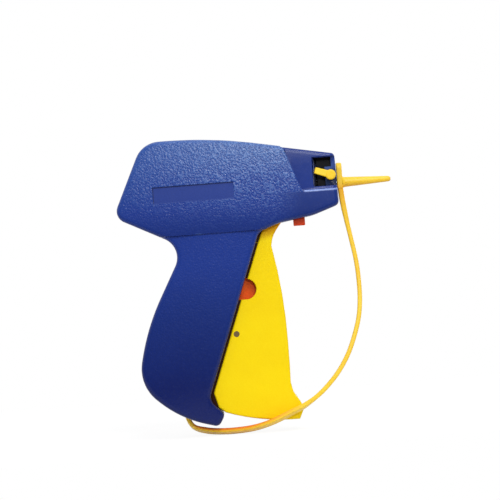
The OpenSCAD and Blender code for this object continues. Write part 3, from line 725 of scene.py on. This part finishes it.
def side_height(x, z, right):
    """Half width of the body's side at (x, z), before the rim is rolled over."""
    middle = grip_x(z) - GRIP_MIDDLE
    body = BODY_HALF - SIDE_SKIN - crown(z, 17, 41, 1.85) - crown(-x, 4, 26, 0.5) - crown(-z, -20, 10, 0.35)
    grip = GRIP_HALF - SIDE_SKIN - crown(np.abs(x - middle), 0, 20, 0.5) - crown(-z, 44, 42, 1.3)
    nose = NOSE_HALF - SIDE_SKIN - crown(z, 40, 14, 0.7) - crown(x, 60, 22, 0.35)
    # The nose lies in front of the diagonal, above the ledge. The body's edge over it is rounded
    (x0, z0), (x1, z1), _ = DIAGONAL
    across = (x - x0 + DIAGONAL_LEAN * (z - z0)) / math.hypot(1, DIAGONAL_LEAN)
    toe = (x - x1 + TOE_LEAN * (z - z1)) / math.hypot(1, TOE_LEAN)
    above = z - LEDGE_Z
    fall = np.full(len(x), np.inf)
    for off, r in ((across, STEP_R), (above, LEDGE_R), (toe, STEP_R)):
        fall = np.where(off < 1e-4, np.minimum(fall, eased(-off, r)), fall)
    fall = np.where(np.isinf(fall), 0, fall)
    h = np.where(np.minimum(np.minimum(across, above), toe) > 0.01, nose, body - fall)
    # The grip lies below the step
    lower = np.maximum((z - STEP_Z) / STEP_SOFT, (x - STEP_FRONT) / STEP_SOFT)
    h = np.where(lower < 1, grip + (h - grip) * smooth01(lower), h)
    if not right:
        for s in SCREWS:
            h = h - eased(np.maximum(np.hypot(x - s[0], z - s[1]) - SCREW_R, 0), SCREW_SOFT)
        return h
    # The pocket's floor leans in: flush at its bottom, and 1 mm inside the body's half width at its top
    pocket = box_distance(x, z, LABEL)
    floor = np.minimum(h, BODY_HALF - clamp01(SIDE_SKIN + (z - LABEL[1]) / (LABEL[3] - LABEL[1])))
    wall = floor + (h - floor) * smooth01(pocket / POCKET_SOFT)
    h = np.where((z > LABEL[1]) & (pocket < POCKET_SOFT), wall, h)
    return h - eased(box_distance(x, z, RECESS), RECESS_R)


def feature_lines(right):
    """Lines of mesh points along the side's steps, where its height changes within a short way."""
    lines = []
    for d in (-0.02, 0.06, 0.14, 0.22, 0.30, 0.38, 0.44):
        lines.append([(-20, STEP_Z + d), (STEP_FRONT + d, STEP_Z + d), (STEP_FRONT + d, 5)])
    (x0, z0), (x1, z1), (x2, z2) = DIAGONAL
    offsets = ((0.05, -0.05), (0.0, 0.0), (-0.03, 0.04), (-0.08, 0.12), (-0.16, 0.3), (-0.3, 0.55),
               (-0.4, 0.9))
    slant, back = 1.06, 0.725  # x for 1 mm across the diagonal, and x for 2 mm up along it
    for d, down in offsets:
        lines.append([(x0 + d * slant - back, z0 + 2), (x1 + d * slant, z1), (x2 + d * 0.4, z2 - down),
                      (NOSE_X + 1, z2 - down)])
    if right:
        for d in (0.0, 0.04, 0.08, 0.12, 0.16, 0.2):
            xa, xb, top = LABEL[0] - d, LABEL[2] + d, LABEL[3] + d
            lines.append([(xa, LABEL[1]), (xa, top), (xb, top), (xb, LABEL[1])])
        lines.append([(LABEL[0], LABEL[1]), (LABEL[2], LABEL[1])])
        for d in (0.0, 0.06, 0.15, 0.25, 0.35):
            xa, xb, low, top = RECESS[0] - d, RECESS[2], RECESS[1] - d, RECESS[3] + d
            lines.append([(xb, low), (xa, low), (xa, top), (xb, top)])
    lines = [resample(line, LINE_GAP) for line in lines]
    if not right:
        for s in SCREWS:
            for d in (0.0, 0.08, 0.2, 0.32, 0.42):
                hole = disc(s, SCREW_R + d, 40)
                lines.append(np.vstack((hole, hole[:1])))
    return lines


def border_loop(faces):
    """The points of a surface's one open border, in order."""
    sides = dict.fromkeys((a, b) for f in faces for a, b in zip(f, f[1:] + f[:1]))
    border = {a: b for a, b in sides if (b, a) not in sides}
    loop = [next(iter(border))]
    for _ in range(len(border) - 1):
        loop.append(border[loop[-1]])
    if len(set(loop)) != len(border) or border[loop[-1]] != loop[0]:
        raise ValueError(f"the side's border is not one loop: {len(set(loop))} of {len(border)}")
    return loop


def envelope(right):
    """Closed solid inside which the finished shell lies: crowned sides, rolled rim, and the parting face."""
    sign = -1 if right else 1
    outline = ring(SHELL_PATH, SKIN, MESH_GAP)
    rims = [ring(SHELL_PATH, SKIN + d, MESH_GAP) for d, _ in quarter_round(RIM_R, RIM_STEPS)]
    points, edges = [], []
    for line, closed in [(rim, True) for rim in rims] + [(line, False) for line in feature_lines(right)]:
        base = len(points)
        points.extend(Vector(p) for p in line)
        edges.extend((base + i, base + i + 1) for i in range(len(line) - 1))
        if closed:
            edges.append((base + len(line) - 1, base))
    lo, hi = outline.min(0), outline.max(0)
    grid = np.meshgrid(np.arange(lo[0], hi[0], MESH_GAP), np.arange(lo[1], hi[1], MESH_GAP))
    grid = np.stack(grid, -1).reshape(-1, 2)
    grid = grid[inside(grid, outline)]
    grid = grid[outline_distance(grid, outline) > RIM_R + RIM_GAP]
    points.extend(Vector(p) for p in grid)

    # Triangles between all of these points, inside the outer line only
    flat, _, faces, *_ = delaunay_2d_cdt(points, edges, [], 1, 1e-5)
    flat = np.array([tuple(v) for v in flat])
    faces = [tuple(f) for f in faces]
    h = side_height(flat[:, 0], flat[:, 1], right) - eased(outline_distance(flat, outline), RIM_R)
    verts = [(x, sign * y, z) for (x, z), y in zip(flat, h)]

    # Side wall down to the parting face, with its edge broken
    loop = border_loop(faces)
    turn = 1 if area(flat[loop]) > 0 else -1
    m = len(loop)
    previous = loop
    for d, y in PARTING_EDGE:
        base = len(verts)
        verts += [(p[0], sign * y, p[1]) for p in inset(flat[loop], turn * d)]
        faces += [(previous[i], previous[(i + 1) % m], base + (i + 1) % m, base + i) for i in range(m)]
        previous = list(range(base, base + m))
    faces.append(tuple(previous))

    used = sorted({i for f in faces for i in f})
    index = {v: i for i, v in enumerate(used)}
    ob = make("envelope", [verts[i] for i in used], [tuple(index[i] for i in f) for f in faces])
    with opened(ob.data) as bm:
        bmesh.ops.triangulate(bm, faces=[f for f in bm.faces if len(f.verts) > 4], ngon_method="EAR_CLIP")
        open_edges = sum(len(e.link_faces) != 2 for e in bm.edges)
    if open_edges:
        print("ENVELOPE open edges", open_edges)
    return ob


for right, node, name in ((True, "right_shell", "body_right"), (False, "left_shell", "body_left")):
    shell = cad_copy(node, name)
    boolean(shell, envelope(right), "INTERSECT")
    piece(shell, "shell", "shell", "housing", node)


# ------------ trigger
SQUEEZE = 20.0
CHEEK_Y, CHEEK_R, LIP_W, LIP_T, LIP_DEPTH, TRIM = 8.0, 0.9, 2.2, 0.96, 1.02, 0.02
GRIP_LIP = (LIP_X + 7.6, -FOOT_Z + 6.1)
TRIGGER_R = math.hypot(GRIP_LIP[0] - PIVOT[0], GRIP_LIP[1] - PIVOT[1]) - 0.6
NOTCH, NOTCH_R = turned(FULCRUM, PIVOT, -SQUEEZE), 5.1
TOE_A = -88.8
HEEL_A = math.degrees(math.atan2(GRIP_LIP[1] + 0.4 - PIVOT[1], GRIP_LIP[0] - PIVOT[0]))


def front_x(z):
    """Front edge of the trigger, which curves back as it goes up."""
    return 51.9 - 0.0021 * max(0, z + 45) ** 2


def rear_x(z):
    return grip_x(z) + REAR_GAP


HEEL = (rear_x(-FOOT_Z + 16.9), -FOOT_Z + 16.9)
TRIGGER = ([polar(PIVOT, 6, 150 - 20 * k) for k in range(8)]
           + [(56.2, 15.2), (52.9, 13.0), (51.5, 11.3), (50.2, 9.6), (48.8, 7.4), (47.9, 5.2)]
           + [(front_x(z), z) for z in (2, -10, -22, -34, -46, -58)]
           + [(51.7, -FOOT_Z + 19.3), (52.8, -FOOT_Z + 14.2), (55.8, -FOOT_Z + 9.4), (57.4, -FOOT_Z + 6.1)]
           + [polar(PIVOT, TRIGGER_R, TOE_A + (HEEL_A - TOE_A) * k / 8) for k in range(9)]
           + [(LIP_X + 4.4, -FOOT_Z + 9.3), HEEL, (rear_x(-6), -6), (rear_x(4), 4)])
LIPS = [(HEEL[0] + 2, HEEL[1]), (rear_x(2) + 2, 2), (rear_x(2) - LIP_W, 2), (HEEL[0] - LIP_W, HEEL[1] + 0.5),
        (LIP_X + 4.4 - LIP_W, -FOOT_Z + 9.9), (LIP_X + 6.5, -FOOT_Z + 9.5)]
LIP_TOP = [(rear_x(1) + 1.5, 1), (46.6, 14.5), (42.6, 11.2), (grip_x(9) - 0.7, 9), (grip_x(1) - 1.0, 1)]


def trimmed(outline):
    return inset(counter_clockwise(outline), TRIM)


def make_trigger():
    """Rounded cheeks, thinner lips behind them that reach into the grip, and the notch for the lobe."""
    trigger = cad_copy("trigger", "trigger_yellow")
    cheek, lip = CHEEK_Y - TRIM, CHEEK_Y - LIP_DEPTH
    mould = rolled("mould", trimmed(TRIGGER), -cheek, cheek, CHEEK_R, n=5)
    boolean(mould, rolled("lips", trimmed(LIPS), -lip, lip, 0), "UNION")
    boolean(trigger, mould, "INTERSECT")
    for y in (-lip, lip - LIP_T):
        boolean(trigger, rolled("lip_top", LIP_TOP, y, y + LIP_T, 0.1), "UNION")
    for rise in (0, 6):
        way = slot_line([NOTCH, NOTCH + np.array((-12, rise))], NOTCH_R + 0.01, 24)
        boolean(trigger, rolled("notch", way, -CHEEK_Y, CHEEK_Y, -0.3))
    return trigger


piece(make_trigger(), "trigger", "trigger", "trigger", "trigger")

# ------------ drive lever
STROKE, LEVER_TURN, LEVER_Y, PLACES = 44.0, 57.0, 3.0, 20
SLIDER_PIN_R, LINK_PIN_R, FULCRUM_PIN_R, PIN_GAP, ROUND_PINS = 1.5, 1.5, 2.0, 0.15, 2.6
LEVER_HUB_R, LEVER_EDGE, WEB_EDGE, LOBE_EDGE, FLARE = 6, 0.5, 0.45, 1.7, -0.25
SLIDE_X0 = FULCRUM[0] - STROKE / 2
SHARES = [k / PLACES for k in range(PLACES + 1)]
# Ways of the link pin and of the slider pin, as the lever sees them
LINK_WAY = [turned(turned(LINK, PIVOT, SQUEEZE * s), FULCRUM, -LEVER_TURN * s) for s in SHARES]
SLIDE_WAY = [turned((SLIDE_X0 + STROKE * s, AXIS_Z), FULCRUM, -LEVER_TURN * s) for s in SHARES]
LOBE, LOBE_R = NOTCH + np.array((0.2, -0.3)), NOTCH_R + 1.05


def make_lever():
    """Arms with rounded edges round the fulcrum, the two slots and the lobe, and the slots and the bore."""
    half = LEVER_Y - TRIM
    hub = np.array(FULCRUM)
    web = [hub + (-5, -3), LINK_WAY[0] + (-4, 2), LINK_WAY[0] + (3.6, 0),
           LOBE + LOBE_R * np.array((0.94, -0.34)), LOBE + LOBE_R * np.array((0.46, 0.88)), hub + (4, 4.4)]
    arm = slot_line([hub, SLIDE_WAY[0]], SLIDER_PIN_R + ROUND_PINS, 20)
    foot = slot_line(LINK_WAY[::2], LINK_PIN_R + ROUND_PINS, 20)
    lever = rolled("lever_orange", arm, -half, half, LEVER_EDGE)
    for outline, r in ((disc(FULCRUM, LEVER_HUB_R, 64), LEVER_EDGE), (foot, LEVER_EDGE), (web, WEB_EDGE),
                       (disc(LOBE, LOBE_R - TRIM, 64), LOBE_EDGE)):
        boolean(lever, rolled("part", outline, -half, half, r, n=6), "UNION")
    middle = PLACES // 2
    for way, r in ((SLIDE_WAY[:middle + 1], SLIDER_PIN_R), (SLIDE_WAY[middle:], SLIDER_PIN_R),
                   (LINK_WAY, LINK_PIN_R)):
        boolean(lever, rolled("slot", slot_line(way, r + PIN_GAP, 16), -half, half, FLARE))
    boolean(lever, rolled("bore", disc(FULCRUM, FULCRUM_PIN_R + 0.06, 48), -half, half, FLARE))
    return lever


piece(make_lever(), "lever", "lever", "lever", "drive_lever")


# ------------ needle lock
LOCK_HUB_R, LOCK_HUB_T, LOCK_ARM_T = 2.6, 2.2, 2.05
LOCK_SHAFT_R, LOCK_SHAFT_Y, LOCK_PLAY = 1.6, 7.6, 0.22


def make_lock():
    """Round hub with a square-ended arm, on a shaft across the nose."""
    base = -LOCK_FLOOR - LOCK_PLAY
    hub, tip = np.array(LOCK_AT), np.array((LOCK_AT[0] - 6.6, LOCK_AT[1] + 2.3))
    along = unit(tip - hub)

    def corner(start, run, aside, r):
        return tuple(start + run * along + aside * left(along)) + (r,)

    bar = [corner(hub, 2.2, 1.75, 1.5), corner(hub, 0, 2.1, 0.1), corner(hub, 0, -2.1, 0.1),
           corner(hub, 2.2, -1.75, 1.5), corner(tip, 1.2, -1.58, 0.5), corner(tip, 1.2, 1.58, 0.5)]
    shaft = disc(LOCK_AT, LOCK_SHAFT_R, 40)
    lock = rolled("lock_yellow", disc(LOCK_AT, LOCK_HUB_R, 48), -LOCK_FLOOR - LOCK_HUB_T, base, 0.7, 0.2)
    boolean(lock, rolled("arm", ring(bar, 0, 3), -LOCK_FLOOR - LOCK_ARM_T, base, 0.5, 0.2), "UNION")
    boolean(lock, rolled("shaft", shaft, -LOCK_FLOOR - 1, LOCK_SHAFT_Y, 0, 0.3), "UNION")
    return lock


piece(make_lock(), "lock", "lock", "lock", "needle_lock")

# ------------ lead-in of the needle base
LEAD_X0, LEAD_X1, LEAD_R, LEAD_BORE_R = 71.55, 72.9, 1.42, 0.62
LEAD_PROFILE = [(LEAD_X0 + 0.2, LEAD_BORE_R + 0.04), (LEAD_X0, 1.25), (LEAD_X0 + 0.2, LEAD_R),
                (LEAD_X1, LEAD_R), (LEAD_X1, LEAD_BORE_R)]
lead = lathe("needle_lead_in", LEAD_PROFILE, 40)
piece(lead, "black", "black", "housing")

# ------------ release button
RELEASE_X, RELEASE_W = NOSE_X - 23.4, 6.0
TAB_Z0, HOOK_Z0, HOOK_Z1, HOOK_W = 10.9, 19, 20.4, 0.7
TAB_Y0, TAB_Y1, TAB_CORNER_R = -10, -6.2, 0.55


def make_release():
    """Tab that stands out under the nose, with a hook at its top that keeps it in."""
    x0, x1 = RELEASE_X + 0.1, RELEASE_X + RELEASE_W - 0.1
    hook = x1 + HOOK_W
    tab = [(x0, TAB_Z0), (x1, TAB_Z0), (x1, HOOK_Z0), (hook, HOOK_Z0), (hook, HOOK_Z1), (x0, HOOK_Z1)]
    flange = [(x0, HOOK_Z0), (hook, HOOK_Z0), (hook, HOOK_Z1), (x0, HOOK_Z1)]
    corners = [(x0, TAB_Z0, TAB_CORNER_R), (x1, TAB_Z0, TAB_CORNER_R), (x1, 21, 0.05), (x0, 21, 0.05)]
    button = rolled("release_red", tab, TAB_Y0, TAB_Y1, 0.35, n=3)
    boolean(button, rolled("corners", ring(corners, 0, 3), -11, -5, 0), "INTERSECT")
    boolean(button, rolled("flange", flange, -9.98, -6.22, 0.15), "UNION")
    return button


piece(make_release(), "release", "release", "release", "release_button")

# ------------ needle cap
CAP_L, CAP_ROOT_R, CAP_TIP_R, CAP_BORE_R = 23.2, 2.6, 1.4, 1.1
NEEDLE_OUT, SINK_R, SINK_T = 22.9, 2.4, 1.2
STRAP_W, STRAP_T = 5.6, 2.4
PLATE_Z0, PLATE_Z1 = 28.0, 38.0


def make_cap():
    """Tapered sleeve with a collar at its root, on a round-topped plate that is bored for the needle."""
    root = CAP_X0 + TAB_T - 0.5
    tip, end = root + CAP_L, NOSE_X + NEEDLE_OUT + 0.6
    profile = [(root, CAP_ROOT_R), (root + 0.5, CAP_ROOT_R + 0.45), (root + 0.75, CAP_ROOT_R + 0.22),
               (root + 1.3, CAP_ROOT_R - 0.06)]
    taper = CAP_TIP_R - CAP_ROOT_R
    profile += [(root + CAP_L * k / 12, CAP_ROOT_R + taper * k / 12) for k in range(1, 13)]
    for a in range(12, 91, 13):
        profile.append((tip + CAP_TIP_R * math.sin(math.radians(a)),
                        max(0.02, CAP_TIP_R * math.cos(math.radians(a)))))
    profile += [(end + 0.5, 0.02), (end, 1.05), (CAP_X0 + SINK_T, CAP_BORE_R), (root, CAP_BORE_R)]
    cap = lathe("cap_yellow", profile, 72)
    w = STRAP_W / 2
    head = [(-w, PLATE_Z0), (w, PLATE_Z0)] + [polar((0, PLATE_Z1), w, a) for a in range(0, 181, 9)]
    plate = rolled("plate", head, CAP_X0 - 0.28, CAP_X0 + TAB_T, 0.55, n=5, axis="X")
    boolean(plate, rolled("hole", disc((0, AXIS_Z), CAP_BORE_R, 48), CAP_X0 - 0.5, CAP_X0 + 4, 0, axis="X"))
    boolean(plate, rolled("sink", disc((0, AXIS_Z), SINK_R, 48), CAP_X0 - 0.6, CAP_X0 + SINK_T, 0, axis="X"))
    boolean(cap, plate, "UNION")
    return cap


piece(make_cap(), "cap", "cap", "cap", "needle_cap")

# ------------ cap strap
STRAP_ROLL, STRAP_LIFT, BAND_POINTS = 22, 0.55, 32
STRAP_WAY = [
    (CAP_X0 + TAB_T / 2 - 0.05, 0, 28.9), (CAP_X0 + TAB_T / 2, 0, 27.2), (NOSE_X + 2.2, 0, 21),
    (NOSE_X + 3.4, -0.3, 12), (NOSE_X + 5, -0.8, 2), (NOSE_X + 6.5, -1.6, -8), (NOSE_X + 7.1, -3, -18),
    (NOSE_X + 6.8, -5, -28.4), (NOSE_X + 5.1, -7.4, -38.3),
    (83.2, -9.4, -FOOT_Z + 35.7), (79, -10.6, -FOOT_Z + 27.7), (73.5, -11.4, -FOOT_Z + 20.3),
    (65.9, -11.8, -FOOT_Z + 12.9), (57.5, -11.8, -FOOT_Z + 7), (50.7, -11.9, -FOOT_Z + 3.9),
    (LIP_X + 30.8, -11.4, -FOOT_Z + 0.1), (LIP_X + 22.2, -8, -FOOT_Z - 2.3),
    (LIP_X + 14, -5.5, -FOOT_Z - 3.2), (LIP_X + 5.4, -3, -FOOT_Z - 3.3), (LIP_X - 2.6, -1, -FOOT_Z - 2.4),
    (LIP_X - 8.6, 0, -FOOT_Z), (STRAP_END[0], 0, STRAP_END[1] - 4.6), (STRAP_END[0], 0, STRAP_END[1] + 0.4)]


def smooth_line(points, per):
    """A smooth curve through the points, with per steps between each two."""
    p = [np.array(q, float) for q in points]
    n, out = len(p) - 1, []
    for i in range(n):
        a, b, c, d = p[max(0, i - 1)], p[i], p[i + 1], p[min(n, i + 2)]
        for k in range(per):
            t = k / per
            bend = (2 * a - 5 * b + 4 * c - d) * t ** 2 + (3 * b - a - 3 * c + d) * t ** 3
            out.append(0.5 * (2 * b + (c - a) * t + bend))
    return out + [p[n]]


def band_section():
    """A flat band with round corners, fuller along its two edges than in the middle."""
    out = []
    for k in range(BAND_POINTS):
        a = 2 * math.pi * (k + 0.5) / BAND_POINTS
        c, s = math.cos(a), math.sin(a)
        u = math.copysign(abs(c) ** 0.45, c) * STRAP_W / 2
        v = math.copysign(abs(s) ** 0.55, s) * STRAP_T / 2
        full = 0.86 + 0.14 * min(1.0, abs(u) / 1.7) ** 2
        out.append((u * 0.9, v * full * 0.96))
    return out


def foot_roll(p):
    """The band turns its upper face towards the front along the foot, in degrees."""
    low, front, rear = (-p[2] - 66) / 14, (70 - p[0]) / 20, (p[0] + 4) / 12
    return STRAP_ROLL * float(smooth01(low) * smooth01(front) * smooth01(rear))


def cap_swell(p):
    """The band is thicker towards the cap."""
    return 1 + 0.22 * float(smooth01((p[2] - 6) / 14))


route = [p + np.array((0, 0, STRAP_LIFT * foot_roll(p) / STRAP_ROLL)) for p in smooth_line(STRAP_WAY, 8)]
strap = sweep("strap_yellow", route, band_section(), foot_roll, cap_swell)
anchor = disc((STRAP_END[0], STRAP_END[1] + 1.2), 0.98, 24)
boolean(strap, rolled("head", anchor, -4, 4, 0.3), "UNION", smooth=50)
paint(strap, "cap")
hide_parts("cap_strap")
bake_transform(strap)


# ------------ springs
PER_TURN = 20  # points of a spring's line


def coil(start, end, r, wire, turns):
    """Line (along, a, b) of a compression spring from start to end, with its end turns wound close."""
    closed, end_turn = wire / abs(end - start), 1.0 / turns

    def run(t):
        if t < end_turn:
            return closed * t / end_turn
        if t > 1 - end_turn:
            return 1 - closed * (1 - t) / end_turn
        return closed + (1 - 2 * closed) * (t - end_turn) / (1 - 2 * end_turn)

    line = []
    for k in range(turns * PER_TURN + 1):
        a = 2 * math.pi * k / PER_TURN
        along = start + wire / 2 + (end - start - wire) * run(k / (turns * PER_TURN))
        line.append((along, r * math.cos(a), r * math.sin(a)))
    return line


SPRING_Z, SPRING_WIRE, SPRING_R, SPRING_TURNS, SPRING_GAP = -FOOT_Z + 29.7, 1.0, 4.2, 13, 0.3
TRIGGER_WALL = 2.6
seat_x = LIP_X - 30.2
spring_end = front_x(SPRING_Z) - TRIGGER_WALL - SPRING_GAP
line = coil(seat_x + SPRING_GAP, spring_end, SPRING_R, SPRING_WIRE, SPRING_TURNS)
line = [(s, a, b + SPRING_Z) for s, a, b in line]
spring = tube("return_spring_wire", line, SPRING_WIRE / 2, 12)
paint(spring, "spring")
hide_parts("return_spring")
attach(spring, "housing")
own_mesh(spring)

BUTTON_WIRE, BUTTON_R, BUTTON_TURNS, BUTTON_Z0, BUTTON_Z1 = 0.4, 1.4, 5, 20.7, 24.5
middle = (RELEASE_X + RELEASE_W / 2, -8.1)
line = coil(BUTTON_Z0, BUTTON_Z1, BUTTON_R, BUTTON_WIRE, BUTTON_TURNS)
line = [(a + middle[0], b + middle[1], s) for s, a, b in line]
spring = tube("release_spring_wire", line, BUTTON_WIRE / 2, 10)
paint(spring, "spring")
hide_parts("release_spring")
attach(spring, "housing")
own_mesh(spring)

# ------------ CAD nodes that keep their shape
KEPT = {
    "housing_screws": "zinc", "trigger_pin": "steel", "link_pin": "pin", "fulcrum_pin": "steel",
    "slider": "slider", "slider_pin": "steel", "push_rod": "rod", "needle": "needle", "needle_base": "black",
    "clip_guide": "black", "feed_wheel": "wheel", "feed_shaft": "steel", "index_spring": "spring",
    "feed_rocker": "lever",
}
for node, key in KEPT.items():
    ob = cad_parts[node]
    paint(ob, key)
    shade(ob, 30)

# ------------ floor and backdrop
WHITE, PALE, SKY = (1, 1, 1, 1), (0.8, 0.8, 0.8, 1), (0.95, 0.97, 1.0, 1)


def stage_material(name):
    """Mostly white to the camera and in reflections, and pale otherwise, so that it keeps the shadow."""
    mat = bpy.data.materials.new(name)
    mat.use_nodes = True
    t = Tree(mat.node_tree)
    ray = t.add("ShaderNodeLightPath").outputs
    pale = t.add("ShaderNodeBsdfDiffuse")
    pale.inputs[0].default_value = PALE
    glow = t.light("ShaderNodeEmission", WHITE, 1.07)
    seen = t.largest(ray["Is Camera Ray"], ray["Is Glossy Ray"])
    t.finish("ShaderNodeOutputMaterial", t.times(seen, 0.85), pale.outputs[0], glow)
    return mat


floor_z = cad_box[0].z / MM - 0.05
corners = [(x, y, floor_z) for x, y in ((-320, -120), (360, -120), (360, 400), (-320, 400))]
floor = make("floor", corners, [(0, 1, 2, 3)])
floor.data.materials.append(stage_material("pale_floor"))

# The backdrop is white to the camera, and in reflections of what lies behind the object
world = bpy.data.worlds.new("studio")
scene.world = world
world.use_nodes = True
t = Tree(world.node_tree)
ray = t.add("ShaderNodeLightPath").outputs
way = t.add("ShaderNodeSeparateXYZ")
t.link(t.add("ShaderNodeTexCoord").outputs["Generated"], way.inputs[0])
behind = t.span(way.outputs[1], -0.35, 0.15, 0.12, 1.0)
seen = t.light("ShaderNodeBackground", WHITE, t.largest(behind, ray["Is Camera Ray"]))
seen_by = t.largest(ray["Is Camera Ray"], ray["Is Glossy Ray"], ray["Is Transmission Ray"])
t.finish("ShaderNodeOutputWorld", seen_by, t.light("ShaderNodeBackground", SKY, 0.4), seen)

# ------------ lights and camera, in metres
CENTRE = (0.02, 0.0, -0.015)
CAMERA_X, CAMERA_Z, FAR, VIEW_W, ROLL = 0.03646, 0.0007, 1.5, 0.25, 4.4
SENSOR_W = 36.0  # millimetres, as is the focal length


def softbox(name, where, size, watts, aim=CENTRE):
    data = bpy.data.lights.new(name, "AREA")
    data.shape, data.size, data.size_y = "RECTANGLE", size[0], size[1]
    data.energy = watts
    ob = bpy.data.objects.new(name, data)
    scene.collection.objects.link(ob)
    ob.location = where
    ob.rotation_mode = "QUATERNION"
    ob.rotation_quaternion = (Vector(aim) - Vector(where)).to_track_quat("-Z", "Y")


softbox("key", (0.25, -0.75, 0.78), (0.4, 0.3), 5.0)
softbox("sheen", (0.16, -1.2, 0.38), (0.16, 0.1), 3.2)
softbox("brow", (0.056, -0.20, 0.115), (0.03, 0.02), 0.045, aim=(0.046, 0, 0.046))
softbox("fill", (-0.7, -0.3, 0.3), (0.6, 0.7), 0.5)
softbox("top", (0.0, -0.05, 0.9), (0.9, 0.5), 2.0)
softbox("back", (0.5, 0.8, 0.3), (0.7, 0.7), 1.8)

cam_data = bpy.data.cameras.new("camera")
cam_data.sensor_width = SENSOR_W
cam_data.lens = SENSOR_W * FAR / VIEW_W
cam_data.clip_start, cam_data.clip_end = 0.01, 20.0
camera = bpy.data.objects.new("camera", cam_data)
scene.collection.objects.link(camera)
roll = math.radians(ROLL)
right = Vector((math.cos(roll), 0, -math.sin(roll)))
up = Vector((math.sin(roll), 0, math.cos(roll)))
turn = Matrix((right, up, Vector((0, -1, 0)))).transposed().to_4x4()
camera.matrix_world = Matrix.Translation(Vector((CAMERA_X, -FAR, CAMERA_Z))) @ turn
scene.camera = camera
scene.view_settings.view_transform = "Standard"
